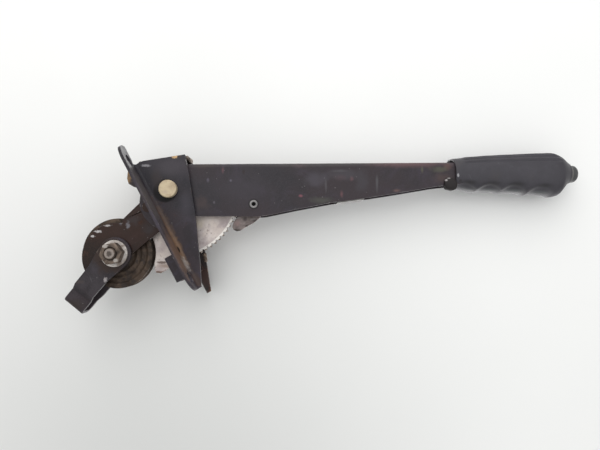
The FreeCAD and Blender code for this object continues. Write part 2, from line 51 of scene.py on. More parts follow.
# ---------------------------------------------------------------- the lever's own axes
PIVOT = Vector(JOINTS["lever_pivot"]["pos_m"])
ALONG = -Vector(JOINTS["button_slide"]["axis"]).normalized()
ABOVE = Vector((-ALONG.z, 0.0, ALONG.x))
ACROSS = Vector((0.0, 1.0, 0.0))
PULLEY_AT = Vector(JOINTS["pulley_spin"]["pos_m"])
MM = 0.001


def lever_point(a, b, y=0.0):
    """Millimetres along, above and across the lever to a place in the row frame."""
    return PIVOT + ALONG * (a * MM) + ABOVE * (b * MM) + ACROSS * (y * MM)


# ---------------------------------------------------------------- material building
class Surface:
    """A principled material built from small chained node calls."""

    def __init__(self, name, metallic=0.0, rough=0.5, **fixed):
        self.mat = bpy.data.materials.new(name)
        self.mat.use_nodes = True
        self.tree = self.mat.node_tree
        self.bsdf = self.tree.nodes["Principled BSDF"]
        self.bsdf.inputs["Metallic"].default_value = metallic
        self.bsdf.inputs["Roughness"].default_value = rough
        for key, value in fixed.items():
            self.bsdf.inputs[key.replace("_", " ")].default_value = value
        self.coord = self.tree.nodes.new("ShaderNodeTexCoord").outputs["Object"]

    def link(self, value, socket):
        if isinstance(value, bpy.types.NodeSocket):
            self.tree.links.new(value, socket)
        elif isinstance(value, (tuple, list)) and socket.type == "RGBA":
            socket.default_value = (*value, 1.0) if len(value) == 3 else value
        else:
            socket.default_value = value

    def maths(self, kind, *values, clamp=False):
        node = self.tree.nodes.new("ShaderNodeMath")
        node.operation = kind
        node.use_clamp = clamp
        for value, socket in zip(values, node.inputs):
            self.link(value, socket)
        return node.outputs[0]

    def stretched(self, scale, turn=(0.0, 0.0, 0.0)):
        node = self.tree.nodes.new("ShaderNodeMapping")
        node.inputs["Scale"].default_value = scale
        node.inputs["Rotation"].default_value = turn
        self.link(self.coord, node.inputs["Vector"])
        return node.outputs[0]

    def noise(self, scale, detail=4.0, rough=0.55, vector=None, warp=0.0):
        node = self.tree.nodes.new("ShaderNodeTexNoise")
        node.inputs["Scale"].default_value = scale
        node.inputs["Detail"].default_value = detail
        node.inputs["Roughness"].default_value = rough
        node.inputs["Distortion"].default_value = warp
        self.link(vector or self.coord, node.inputs["Vector"])
        return node.outputs["Fac"]

    def cells(self, scale, vector=None, feature="F1"):
        node = self.tree.nodes.new("ShaderNodeTexVoronoi")
        node.feature = feature
        node.inputs["Scale"].default_value = scale
        self.link(vector or self.coord, node.inputs["Vector"])
        return node.outputs["Distance"]

    def step(self, value, low, high, out_low=0.0, out_high=1.0):
        """Smooth step of a value between two levels."""
        node = self.tree.nodes.new("ShaderNodeMapRange")
        node.interpolation_type = "SMOOTHSTEP"
        node.inputs["From Min"].default_value = low
        node.inputs["From Max"].default_value = high
        node.inputs["To Min"].default_value = out_low
        node.inputs["To Max"].default_value = out_high
        self.link(value, node.inputs["Value"])
        return node.outputs["Result"]

    def mix(self, mask, first, second):
        node = self.tree.nodes.new("ShaderNodeMix")
        node.data_type = "RGBA"
        self.link(mask, node.inputs[0])
        self.link(first, node.inputs[6])
        self.link(second, node.inputs[7])
        return node.outputs[2]

    def edge(self, radius, low, high):
        """Mask of convex and concave edges, from the rounded normal."""
        bevel = self.tree.nodes.new("ShaderNodeBevel")
        bevel.samples = 4
        bevel.inputs["Radius"].default_value = radius
        plain = self.tree.nodes.new("ShaderNodeNewGeometry").outputs["Normal"]
        dot = self.tree.nodes.new("ShaderNodeVectorMath")
        dot.operation = "DOT_PRODUCT"
        self.link(bevel.outputs[0], dot.inputs[0])
        self.link(plain, dot.inputs[1])
        gap = self.maths("SUBTRACT", 1.0, dot.outputs["Value"])
        return self.step(gap, low, high)

    def near(self, place, reach, soft=0.5, ragged=0.35, grain=260.0, turned=False):
        """Mask of a ragged blot; reach is one size or three, along the lever's axes when turned."""
        sizes = reach if isinstance(reach, tuple) else (reach, reach, reach)
        move = self.tree.nodes.new("ShaderNodeVectorMath")
        move.operation = "SUBTRACT"
        self.link(self.coord, move.inputs[0])
        move.inputs[1].default_value = place
        offset = move.outputs[0]
        if turned:
            turn = self.tree.nodes.new("ShaderNodeVectorRotate")
            turn.rotation_type = "Y_AXIS"
            turn.inputs["Angle"].default_value = math.atan2(ALONG.z, ALONG.x)
            self.link(offset, turn.inputs["Vector"])
            offset = turn.outputs[0]
        shape = self.tree.nodes.new("ShaderNodeVectorMath")
        shape.operation = "DIVIDE"
        self.link(offset, shape.inputs[0])
        shape.inputs[1].default_value = sizes
        far = self.tree.nodes.new("ShaderNodeVectorMath")
        far.operation = "LENGTH"
        self.link(shape.outputs[0], far.inputs[0])
        wobble = self.maths("SUBTRACT", self.noise(grain, 3.0), 0.5)
        wobble = self.maths("MULTIPLY", wobble, 2.0 * ragged)
        value = self.maths("ADD", far.outputs["Value"], wobble)
        return self.step(value, 1.0, 1.0 - soft)

    def blots(self, colour, spots):
        """Lays each spot over a colour: dirt, rust and wear, and also painted shade and painted highlights.
        """
        for spot in spots:
            mask = self.near(spot["place"], spot["reach"], spot["soft"], spot["ragged"],
                             spot["grain"], spot["turned"])
            colour = self.mix(self.maths("MULTIPLY", mask, spot["amount"]), colour, spot["tint"])
        return colour

    def finish(self, colour, rough=None, metal=None, bump=None, depth=0.0002, strength=0.6):
        self.link(colour, self.bsdf.inputs["Base Color"])
        if rough is not None:
            self.link(rough, self.bsdf.inputs["Roughness"])
        if metal is not None:
            self.link(metal, self.bsdf.inputs["Metallic"])
        if bump is not None:
            node = self.tree.nodes.new("ShaderNodeBump")
            node.inputs["Distance"].default_value = depth
            node.inputs["Strength"].default_value = strength
            self.link(bump, node.inputs["Height"])
            self.link(node.outputs[0], self.bsdf.inputs["Normal"])
        return self.mat


RUST = (0.20, 0.085, 0.04)
RUST_DARK = (0.065, 0.032, 0.022)
BARE = (0.46, 0.43, 0.41)


def spot(place, size, tint, amount, soft=0.6, ragged=0.4, grain=260.0):
    """A blot at (along, above, across) millimetres of the lever, sized along the same axes."""
    a, b, y = place
    along, above, across = size if isinstance(size, tuple) else (size, size, size)
    return {"place": lever_point(a, b, y), "reach": (along * MM, across * MM, above * MM), "tint": tint,
            "amount": amount, "soft": soft, "ragged": ragged, "grain": grain, "turned": True}


def patch(place, size, tint, amount, soft=0.6, ragged=0.4, grain=260.0):
    """A blot at (x, y, z) millimetres of the bracket, sized along the same axes."""
    return {"place": Vector(place) * MM, "reach": tuple(v * MM for v in size), "tint": tint,
            "amount": amount, "soft": soft, "ragged": ragged, "grain": grain, "turned": False}


def old_paint(name, dark, light, edge_colour=RUST, edge_low=0.03, edge_high=0.16, edge_patch=0.5,
              rust=0.62, rough=0.46, blots=(), scuffs=0.64, gloss=0.32):
    """Aged black paint: cloudy colour, worn edges, rust freckles, scuffs and local blots."""
    s = Surface(name, Specular_IOR_Level=gloss)
    cloud = s.noise(38.0, 5.0, 0.6, warp=0.6)
    colour = s.mix(s.step(cloud, 0.36, 0.66), dark, light)
    hue = s.step(s.noise(15.0, 3.0), 0.42, 0.58)
    browner = (light[0] * 1.16, light[1] * 0.90, light[2] * 0.86)
    colour = s.mix(s.maths("MULTIPLY", hue, 0.6), colour, browner)
    bloom = s.step(s.noise(27.0, 6.0, 0.62, warp=1.2), 0.50, 0.66)
    violet = (light[0] * 1.45, light[1] * 1.34, light[2] * 1.62)
    colour = s.mix(s.maths("MULTIPLY", bloom, 0.55), colour, violet)
    grain = s.noise(900.0, 3.0)
    colour = s.mix(s.step(grain, 0.42, 0.72, 0.0, 0.28), colour, tuple(1.7 * c for c in light))
    scratch = s.noise(24.0, 8.0, 0.72, s.stretched((1.0, 1.0, 14.0), (0.0, 0.5, 0.0)))
    scuff = s.maths("MULTIPLY", s.step(scratch, scuffs, scuffs + 0.07), s.step(cloud, 0.4, 0.6))
    colour = s.mix(s.maths("MULTIPLY", scuff, 0.4), colour, (0.13, 0.12, 0.13))
    freckle = s.step(s.noise(120.0, 6.0, 0.7), rust, rust + 0.06)
    freckle = s.maths("MULTIPLY", freckle, s.step(s.noise(22.0, 2.0), 0.45, 0.62))
    colour = s.mix(s.maths("MULTIPLY", freckle, 0.75), colour, RUST_DARK)
    chips = s.step(s.noise(430.0, 2.0), 0.735, 0.755)
    colour = s.mix(s.maths("MULTIPLY", chips, 0.5), colour, (0.30, 0.29, 0.29))
    colour = s.blots(colour, blots)
    edge = s.edge(0.0011, edge_low, edge_high)
    wear = s.step(s.noise(150.0, 5.0, 0.65), edge_patch - 0.09, edge_patch + 0.09)
    worn = s.maths("MULTIPLY", edge, wear)
    bright = s.step(s.noise(210.0, 3.0), 0.56, 0.66)
    colour = s.mix(worn, colour, s.mix(bright, edge_colour, BARE))
    roughness = s.step(s.maths("ADD", freckle, worn), 0.0, 1.0, rough, 0.75)
    roughness = s.maths("ADD", roughness, s.step(cloud, 0.3, 0.7, -0.06, 0.10))
    bump = s.maths("ADD", s.maths("MULTIPLY", s.noise(520.0, 4.0), 0.35),
                   s.maths("MULTIPLY", s.maths("ADD", freckle, worn), -0.7))
    return s.finish(colour, roughness, None, bump, 0.00018, 0.7)


def plated(name, clean, dull, rough=0.38, metallic=0.85, dirt=0.62, dirt_colour=(0.10, 0.07, 0.05),
           blots=()):
    """Old zinc plating: grey mottling, brown dirt in patches, brighter worn edges."""
    s = Surface(name, metallic=metallic)
    cloud = s.noise(85.0, 6.0, 0.65, warp=0.8)
    colour = s.mix(s.step(cloud, 0.36, 0.64), dull, clean)
    grit = s.step(s.noise(260.0, 5.0, 0.7), dirt, dirt + 0.08)
    grit = s.maths("MULTIPLY", grit, s.step(s.noise(60.0, 2.0), 0.40, 0.60))
    colour = s.mix(s.maths("MULTIPLY", grit, 0.85), colour, dirt_colour)
    edge = s.edge(0.0007, 0.03, 0.16)
    colour = s.mix(s.maths("MULTIPLY", edge, 0.45), colour, tuple(min(1.0, 1.35 * c) for c in clean))
    hair = s.noise(30.0, 9.0, 0.75, s.stretched((1.0, 1.0, 18.0), (0.0, 0.9, 0.0)))
    colour = s.mix(s.step(hair, 0.60, 0.68, 0.0, 0.35), colour, dirt_colour)
    colour = s.blots(colour, blots)
    roughness = s.maths("ADD", s.step(cloud, 0.3, 0.7, rough + 0.14, rough), s.maths("MULTIPLY", grit, 0.3))
    metal = s.maths("SUBTRACT", metallic, s.maths("MULTIPLY", grit, 0.6), clamp=True)
    bump = s.maths("SUBTRACT", s.maths("MULTIPLY", s.noise(700.0, 3.0), 0.4), s.maths("MULTIPLY", grit, 0.6))
    return s.finish(colour, roughness, metal, bump, 0.00012, 0.6)


# ---------------------------------------------------------------- materials by surface
PINK_RUST = (0.16, 0.070, 0.080)
DUSTY_GREY = (0.092, 0.090, 0.098)
OLIVE_GREY = (0.070, 0.068, 0.050)
NEAR_Y = -12.0
lever_spots = [
    spot((114.0, -5.1, NEAR_Y), (2.6, 1.8, 6), (0.20, 0.070, 0.090), 0.8, 0.8, 0.3),
    spot((46.0, 17.3, NEAR_Y), (1.5, 4.2, 6), PINK_RUST, 0.5, 0.9, 0.4),
    spot((64.1, 15.6, NEAR_Y), (1.6, 3.0, 6), (0.022, 0.014, 0.014), 0.7, 0.8, 0.4),
    spot((158.6, 9.9, NEAR_Y), (2.2, 3.6, 6), PINK_RUST, 0.6, 0.9, 0.5),
    spot((149.9, -3.2, NEAR_Y), (1.8, 4.6, 6), PINK_RUST, 0.55, 0.9, 0.4),
    spot((148.4, 16.7, NEAR_Y), (11.0, 1.6, 6), DUSTY_GREY, 0.5, 0.9, 0.5, 120.0),
    spot((180.9, 6.2, NEAR_Y), (1.5, 9.5, 6), DUSTY_GREY, 0.55, 0.9, 0.5, 120.0),
    spot((136.0, 4.0, NEAR_Y), (1.4, 8.0, 6), DUSTY_GREY, 0.45, 0.9, 0.6, 120.0),
    spot((127.0, 9.0, NEAR_Y), (12.0, 9.0, 6), (0.066, 0.060, 0.072), 0.5, 0.9, 0.5, 120.0),
    spot((131.7, -9.0, NEAR_Y), (14.0, 4.0, 6), (0.064, 0.066, 0.054), 0.6, 0.9, 0.5, 120.0),
    spot((208.0, 24.6, NEAR_Y), (50.0, 6.4, 6), (0.105, 0.056, 0.060), 0.85, 0.75, 0.25),
    spot((120.0, 24.6, NEAR_Y), (84.0, 5.6, 6), (0.056, 0.050, 0.050), 0.8, 0.8, 0.25),
    spot((150.0, 13.0, NEAR_Y), (26.0, 6.5, 6), (0.052, 0.047, 0.056), 0.7, 0.9, 0.6, 90.0),
    spot((168.0, 8.0, NEAR_Y), (9.0, 14.0, 6), (0.046, 0.042, 0.050), 0.6, 0.9, 0.6, 110.0),
    spot((64.0, 2.0, NEAR_Y), (34.0, 20.0, 6), (0.040, 0.033, 0.042), 0.6, 0.9, 0.5, 60.0),
    spot((243.0, 21.0, NEAR_Y), (6.0, 5.0, 6), (0.100, 0.055, 0.050), 0.7, 0.9, 0.4),
    spot((198.4, -0.4, NEAR_Y), (4.6, 2.0, 6), (0.15, 0.085, 0.075), 0.6, 0.9, 0.4),
    spot((220.7, 18.3, NEAR_Y), (1.8, 4.0, 6), (0.100, 0.098, 0.062), 0.6, 0.9, 0.4),
    spot((236.0, 18.5, NEAR_Y), (11.0, 4.0, 6), OLIVE_GREY, 0.8, 0.9, 0.5),
    spot((238.0, 11.0, NEAR_Y), (11.0, 6.5, 6), (0.062, 0.040, 0.038), 0.7, 0.9, 0.5),
    spot((28.0, -12.0, NEAR_Y), (9.0, 9.0, 6), (0.054, 0.036, 0.035), 0.6, 0.9, 0.6),
    spot((33.0, 8.5, NEAR_Y), (1.6, 2.6, 6), (0.100, 0.088, 0.120), 0.6, 0.9, 0.5),
    spot((53.0, 8.0, NEAR_Y), (1.6, 1.6, 6), (0.110, 0.100, 0.130), 0.7, 0.8, 0.5),
    spot((38.5, -11.0, NEAR_Y), (1.4, 1.8, 6), (0.110, 0.100, 0.120), 0.6, 0.8, 0.5),
    spot((112.0, 21.5, NEAR_Y), (9.0, 3.0, 6), (0.078, 0.052, 0.060), 0.5, 0.9, 0.5),
    spot((152.0, 4.0, NEAR_Y), (9.0, 9.0, 6), (0.030, 0.022, 0.026), 0.6, 0.8, 0.6, 110.0),
    spot((149.0, 11.0, NEAR_Y), (7.0, 4.0, 6), (0.074, 0.048, 0.056), 0.5, 0.9, 0.6),
    spot((30.0, 21.0, NEAR_Y), (14.0, 3.0, 6), (0.052, 0.040, 0.036), 0.6, 0.9, 0.5),
    # painted shade of a recess: dark ring round the pawl rivet
    spot((73.0, -12.4, NEAR_Y), (5.4, 5.4, 6), (0.007, 0.006, 0.007), 1.0, 0.35, 0.12),
    spot((-37.0, 9.0, 0.0), (5.5, 13.0, 60), (0.30, 0.18, 0.085), 0.9, 0.6, 0.6, 300.0),
]
LEVER_PAINT = old_paint("lever_black_paint", (0.0170, 0.0142, 0.0185), (0.0285, 0.0238, 0.0290),
                        edge_colour=(0.060, 0.035, 0.033), edge_patch=0.57, rust=0.65, blots=lever_spots)
PLATE_Y = -15.5
plate_spots = [
    # painted shadow of the pivot pin's head, offset to the lower left
    spot((-2.9, -1.2, PLATE_Y), (11.0, 11.0, 4), (0.006, 0.005, 0.006), 1.0, 0.16, 0.06),
    spot((-19.7, 20.5, PLATE_Y), (5.6, 1.5, 4), (0.30, 0.29, 0.31), 0.8, 0.7, 0.6, 600.0),
    spot((4.7, 28.6, PLATE_Y), (2.9, 2.3, 4), (0.78, 0.50, 0.24), 1.0, 0.3, 0.5, 700.0),
    spot((9.0, 28.6, PLATE_Y), (2.0, 1.2, 4), RUST_DARK, 0.8, 0.6, 0.5, 600.0),
    # painted light: the upper plate is lighter
    spot((2.0, 20.0, PLATE_Y), (26.0, 13.0, 4), (0.056, 0.049, 0.058), 0.8, 0.9, 0.3, 70.0),
    spot((14.0, -14.0, PLATE_Y), (8.0, 17.0, 4), (0.046, 0.041, 0.052), 0.7, 0.9, 0.5, 90.0),
    spot((-10.0, 8.0, PLATE_Y), (7.0, 12.0, 4), (0.040, 0.030, 0.030), 0.6, 0.9, 0.5, 90.0),
    patch((-20, -28, 2.6), (44, 14, 2.2), (0.092, 0.080, 0.080), 0.85, 0.7, 0.4, 120.0),
    patch((34, -28, 2.6), (32, 14, 2.2), (0.150, 0.092, 0.066), 0.9, 0.7, 0.5, 160.0),
    patch((12, -17, 3), (38, 5, 6.0), (0.092, 0.060, 0.044), 0.85, 0.7, 0.5),
    patch((28, -17, 3), (26, 5, 4.6), (0.165, 0.100, 0.060), 0.85, 0.7, 0.5),
    # pale worn patch near the flange's lower end, partly a painted highlight
    patch((44, -18.5, 2.6), (9, 6, 2.6), (0.30, 0.27, 0.25), 0.75, 0.7, 0.8, 420.0),
    patch((30, -16.2, 2.6), (4.5, 2.0, 1.2), (0.006, 0.005, 0.005), 1.0, 0.5, 0.4),
    patch((60, -16, 4), (9, 5, 5), (0.070, 0.045, 0.035), 0.75),
    patch((34, -15.5, 17), (28, 4, 9), (0.016, 0.014, 0.017), 0.5),
]
BRACKET_PAINT = old_paint("bracket_black_paint", (0.0185, 0.0168, 0.0215), (0.036, 0.033, 0.040),
                          edge_colour=(0.055, 0.036, 0.030), edge_patch=0.56, rust=0.62, rough=0.52,
                          blots=plate_spots, gloss=0.26)
far_spots = [
    patch((60, 15, 6), (16, 8, 8), (0.046, 0.023, 0.019), 0.8, 0.6, 0.5),
    patch((74, 20, 4), (4, 9, 5), (0.16, 0.10, 0.08), 0.8, 0.6, 0.5),
]
FAR_PAINT = old_paint("far_plate_paint", (0.014, 0.0115, 0.0125), (0.030, 0.024, 0.024),
                      edge_patch=0.50, rust=0.58, blots=far_spots, gloss=0.26)
CHEEK_Y = -10.25
CHIP_WHITE = (0.52, 0.50, 0.50)
arm_spots = [
    spot((-62.0, -36.4, CHEEK_Y), (3.6, 1.3, 4), CHIP_WHITE, 0.9, 0.5, 0.9, 700.0),
    spot((-66.5, -40.6, CHEEK_Y), (2.6, 1.2, 4), CHIP_WHITE, 0.8, 0.5, 0.9, 700.0),
    spot((-54.0, -31.2, CHEEK_Y), (4.2, 1.0, 4), CHIP_WHITE, 0.7, 0.5, 0.9, 700.0),
    # painted highlights: bluish-white blots on the cheek's bent step
    spot((-36.2, -30.5, CHEEK_Y), (2.3, 4.6, 4), (0.22, 0.22, 0.25), 0.6, 0.8, 0.9, 500.0),
    spot((-42.5, -29.0, CHEEK_Y), (1.6, 3.0, 4), (0.18, 0.18, 0.21), 0.5, 0.8, 0.9, 500.0),
    spot((-31.0, -27.0, CHEEK_Y), (8.0, 6.0, 4), (0.040, 0.031, 0.033), 0.6, 0.9, 0.5),
    spot((-18.0, -34.0, CHEEK_Y), (9.0, 8.0, 4), (0.032, 0.026, 0.028), 0.7, 0.9, 0.5),
]
ARM_PAINT = old_paint("arm_rusty_paint", (0.0110, 0.0056, 0.0040), (0.0265, 0.0130, 0.0090),
                      edge_colour=(0.085, 0.058, 0.046), edge_patch=0.56, rust=0.57, rough=0.40,
                      blots=arm_spots, gloss=0.26)
GUARD_Y = -13.25
guard_spots = [
    spot((-50.0, -58.0, GUARD_Y), (19.0, 19.0, 6), (0.032, 0.019, 0.015), 1.0, 0.45, 0.45, 120.0),
    spot((-61.5, -50.0, GUARD_Y), (2.0, 5.5, 4), (0.20, 0.16, 0.13), 0.75, 0.6, 0.9, 600.0),
    spot((-84.0, -101.0, GUARD_Y), (14.0, 9.0, 30), (0.033, 0.024, 0.022), 0.85, 0.7, 0.5),
    spot((-77.0, -79.5, GUARD_Y), (9.0, 2.0, 3), (0.060, 0.046, 0.044), 0.6, 0.8, 0.6),
    spot((-53.5, -78.0, GUARD_Y), (2.0, 2.6, 3), (0.40, 0.37, 0.37), 0.7, 0.6, 0.9, 700.0),
]
GUARD_PAINT = old_paint("guard_blue_black_paint", (0.0190, 0.0155, 0.0190), (0.0400, 0.0340, 0.0390),
                        edge_colour=(0.13, 0.10, 0.095), edge_patch=0.54, rust=0.62, rough=0.50,
                        blots=guard_spots, gloss=0.28)
PULLEY_STEEL = plated("pulley_oily_steel", (0.082, 0.056, 0.040), (0.026, 0.017, 0.012),
                      rough=0.46, metallic=0.6, dirt=0.50, dirt_colour=(0.018, 0.012, 0.010))
pawl_spots = [
    spot((57.8, -28.6, -2), (4.2, 4.4, 3), (0.30, 0.215, 0.205), 0.75, 0.9, 0.4),
    spot((56.6, -35.2, -2), (6.5, 1.5, 3), (0.026, 0.019, 0.017), 0.9, 0.7, 0.4, 400.0),
    spot((66.4, -30.9, -2), (3.4, 1.7, 3), (0.040, 0.030, 0.027), 0.85, 0.7, 0.4, 400.0),
    spot((74.5, -26.4, -2), (4.4, 1.7, 3), (0.040, 0.030, 0.027), 0.85, 0.7, 0.4, 400.0),
    spot((64.4, -25.4, -2), (3.0, 3.6, 3), (0.070, 0.056, 0.054), 0.8, 0.8, 0.4),
    spot((71.0, -25.0, -2), (4.4, 1.4, 3), (0.30, 0.28, 0.27), 0.5, 0.8, 0.5),
    spot((57.0, -23.9, -2), (4.4, 1.0, 3), (0.44, 0.41, 0.39), 0.7, 0.7, 0.5),
]
PAWL_ZINC = plated("pawl_grey_zinc", (0.27, 0.225, 0.215), (0.125, 0.100, 0.095), rough=0.44,
                   metallic=0.35, dirt=0.60, blots=pawl_spots)
GUIDE_ZINC = plated("guide_dull_zinc", (0.27, 0.26, 0.255), (0.15, 0.14, 0.135), rough=0.55,
                    metallic=0.3, dirt=0.60)
NUT_FACE_Y = -23.3
nut_spots = [
    spot((-46.3, -55.4, NUT_FACE_Y), (6.6, 6.6, 1.5), (0.020, 0.013, 0.010), 0.92, 0.35, 0.35, 400.0),
    spot((-46.3, -55.4, NUT_FACE_Y - 2.2), (5.0, 5.0, 1.1), (0.30, 0.26, 0.235), 0.8, 0.25, 0.3, 900.0),
    spot((-46.3, -55.4, NUT_FACE_Y - 2.2), (2.9, 2.9, 1.1), (0.040, 0.028, 0.022), 0.85, 0.5, 0.5, 700.0),
    spot((-50.6, -49.0, NUT_FACE_Y), (3.4, 2.2, 2.6), (0.50, 0.46, 0.43), 0.7, 0.6, 0.8, 600.0),
    spot((-41.4, -61.0, NUT_FACE_Y), (2.6, 2.4, 2.6), (0.46, 0.42, 0.39), 0.7, 0.6, 0.8, 600.0),
]
NUT_ZINC = plated("nut_dirty_zinc", (0.17, 0.125, 0.095), (0.040, 0.027, 0.020), rough=0.46,
                  metallic=0.35, dirt=0.48, dirt_colour=(0.026, 0.018, 0.014), blots=nut_spots)
WASHER_ZINC = plated("washer_worn_zinc", (0.66, 0.62, 0.59), (0.27, 0.22, 0.19), rough=0.46,
                     metallic=0.3, dirt=0.56, dirt_colour=(0.035, 0.024, 0.019))
BRIGHT_ZINC = plated("bright_zinc", (0.62, 0.60, 0.57), (0.34, 0.31, 0.29), rough=0.34, metallic=0.75)
# painted shade: the rivet's bore is painted near black
bore_painted_shade = [spot((73.0, -12.4, -8.0), (2.15, 2.15, 4.4), (0.004, 0.003, 0.003), 1.0, 0.1, 0.02)]
RIVET_STEEL = plated("rivet_dull_steel", (0.26, 0.25, 0.25), (0.14, 0.135, 0.135), rough=0.5, metallic=0.4,
                     blots=bore_painted_shade)
pin_spots = [
    spot((-1.5, -3.0, -20.5), (4.6, 2.4, 2), (0.44, 0.34, 0.27), 0.55, 0.9, 0.6, 300.0),
    spot((1.0, -5.6, -20.5), (4.0, 1.8, 2), (0.36, 0.26, 0.17), 0.6, 0.9, 0.6, 300.0),
]
PIN_YELLOW = plated("pin_yellow_passivate", (0.56, 0.465, 0.315), (0.42, 0.33, 0.225), rough=0.5,
                    metallic=0.25, dirt=0.68, dirt_colour=(0.22, 0.15, 0.08), blots=pin_spots)
SPRING_STEEL = plated("oiled_spring_steel", (0.26, 0.25, 0.25), (0.10, 0.095, 0.09), rough=0.3,
                      metallic=0.9, dirt=0.6)


TOOTH_FOOT, TOOTH_CROWN = 0.0579, 0.0600


def sector_steel():
    """Stamped sector: cream and mauve mottling, dark pits, bright worn teeth with a painted highlight, and
    tooth tips and side faces darkened with painted shade.
    """
    s = Surface("sector_worn_zinc", metallic=0.3, rough=0.46)
    tone = s.step(s.noise(34.0, 5.0, 0.6), 0.40, 0.60)
    colour = s.mix(tone, (0.40, 0.335, 0.335), (0.62, 0.545, 0.50))
    clear = s.step(s.noise(120.0, 5.0, 0.65), 0.42, 0.64, 0.0, 0.55)
    colour = s.mix(clear, colour, (0.68, 0.62, 0.60))
    pits = s.step(s.noise(260.0, 6.0, 0.72), 0.60, 0.66)
    colour = s.mix(s.maths("MULTIPLY", pits, 0.7), colour, (0.15, 0.105, 0.09))
    colour = s.blots(colour, [
        spot((22.0, -29.0, -2), (8, 7, 4), (0.74, 0.66, 0.53), 0.6, 0.9, 0.5),
        spot((13.0, -56.0, -2), (12, 9, 4), (0.36, 0.28, 0.26), 0.6, 0.9, 0.5),
        spot((-6.0, -66.5, -2), (9, 3, 4), (0.30, 0.22, 0.18), 0.75, 0.8, 0.6),
        spot((-8.0, -63.5, -2), (6, 1.6, 4), (0.10, 0.060, 0.045), 0.85, 0.6, 0.7, 400.0),
        spot((-10.5, -72.4, -2), (7, 2.0, 4), (0.13, 0.075, 0.050), 0.9, 0.6, 0.7, 400.0),
    ])
    # bright worn chamfer on the teeth, brightened further as a painted highlight
    body = s.near(PIVOT, (TOOTH_FOOT, 1.0, TOOTH_FOOT), 0.015, 0.004)
    rim = s.maths("MULTIPLY", s.maths("SUBTRACT", 1.0, body), s.step(pits, 0.0, 1.0, 0.85, 0.2))
    teeth_only = s.near(lever_point(45.0, -42.0), (30 * MM, 1.0, 26 * MM), 0.1, 0.02)
    colour = s.mix(s.maths("MULTIPLY", rim, teeth_only), colour, (0.86, 0.83, 0.78))
    # tooth tips painted dark: partly burr, partly painted shade of their unlit bevel
    crown = s.maths("SUBTRACT", 1.0, s.near(PIVOT, (TOOTH_CROWN, 1.0, TOOTH_CROWN), 0.012, 0.010, 700.0))
    colour = s.mix(s.maths("MULTIPLY", crown, teeth_only), colour, (0.15, 0.11, 0.08))
    # painted shade: the sector's side faces, whose normals do not point across, are painted dark brown
    normal = s.tree.nodes.new("ShaderNodeNewGeometry").outputs["Normal"]
    parts = s.tree.nodes.new("ShaderNodeSeparateXYZ")
    s.link(normal, parts.inputs[0])
    facing = s.step(s.maths("ABSOLUTE", parts.outputs["Y"]), 0.55, 0.85)
    colour = s.mix(facing, (0.13, 0.095, 0.075), colour)
    bump = s.maths("SUBTRACT", s.maths("MULTIPLY", s.noise(600.0, 3.0), 0.5), s.maths("MULTIPLY", pits, 0.6))
    return s.finish(colour, s.step(tone, 0.0, 1.0, 0.52, 0.42), None, bump, 0.00014, 0.6)


SECTOR_ZINC = sector_steel()


def moulded(name, base, rough=0.46, blots=(), dust=0.006):
    """Dark moulded plastic with fine grain, lighter dusty patches at random and dull scuffs, then the given
    blots, which on the grip hold painted shade and painted bounce light.
    """
    s = Surface(name, Specular_IOR_Level=0.42)
    cloud = s.noise(30.0, 4.0, 0.55)
    dusty = tuple(1.35 * c + dust for c in base)
    colour = s.mix(s.step(cloud, 0.38, 0.66), base, dusty)
    grain = s.cells(1500.0)
    colour = s.mix(s.step(grain, 0.25, 0.75, 0.0, 0.25), colour, tuple(0.55 * c for c in base))
    scuff = s.step(s.noise(70.0, 8.0, 0.75, s.stretched((1.0, 1.0, 6.0), (0.0, -0.5, 0.0))), 0.62, 0.70)
    colour = s.mix(s.maths("MULTIPLY", scuff, 0.3), colour, (0.13, 0.125, 0.135))
    dirt = s.step(s.noise(24.0, 5.0), 0.56, 0.72)
    colour = s.mix(s.maths("MULTIPLY", dirt, 0.3), colour, (0.050, 0.040, 0.035))
    colour = s.blots(colour, blots)
    roughness = s.step(cloud, 0.3, 0.7, rough - 0.05, rough + 0.12)
    bump = s.maths("ADD", s.maths("MULTIPLY", grain, 0.6), s.maths("MULTIPLY", s.noise(380.0, 3.0), 0.5))
    return s.finish(colour, roughness, None, bump, 0.00010, 0.5)


grip_spots = [
    # painted shade: dark blots above each finger scoop's crease
    spot((282.0, 5.6, -15), (11.0, 3.0, 6), (0.0150, 0.0135, 0.0155), 0.75, 0.9, 0.2),
    spot((304.0, 5.2, -15), (11.0, 3.0, 6), (0.0150, 0.0135, 0.0155), 0.75, 0.9, 0.2),
    spot((328.0, 4.0, -15), (11.0, 3.0, 6), (0.0150, 0.0135, 0.0155), 0.75, 0.9, 0.2),
    spot((262.0, 6.6, -15), (10.0, 3.2, 6), (0.0150, 0.0130, 0.0140), 0.8, 0.9, 0.3),
    # painted bounce light: lighter teal blots inside the finger scoops
    spot((281.0, 0.4, -8), (9.0, 2.4, 6), (0.055, 0.062, 0.064), 0.6, 0.6, 0.2),
    spot((303.0, -0.2, -8), (9.0, 2.4, 6), (0.055, 0.062, 0.064), 0.6, 0.6, 0.2),
    spot((327.0, -1.6, -8), (9.5, 2.4, 6), (0.060, 0.068, 0.070), 0.6, 0.6, 0.2),
    spot((260.0, 0.6, -8), (9.0, 2.2, 6), (0.052, 0.060, 0.062), 0.6, 0.6, 0.2),
    spot((251.6, 13.0, -15), (1.1, 2.0, 3), (0.34, 0.33, 0.35), 0.8, 0.6, 0.6, 500.0),
    spot((254.0, 8.0, -15), (2.2, 2.0, 4), (0.020, 0.015, 0.016), 0.7, 0.8, 0.5),
]
GRIP_PLASTIC = moulded("grip_dark_plastic", (0.0345, 0.0315, 0.0395), blots=grip_spots)
button_spots = [
    spot((356.6, 16.2, -4), (1.5, 12.0, 12), (0.135, 0.130, 0.122), 0.9, 0.3, 0.15),
]
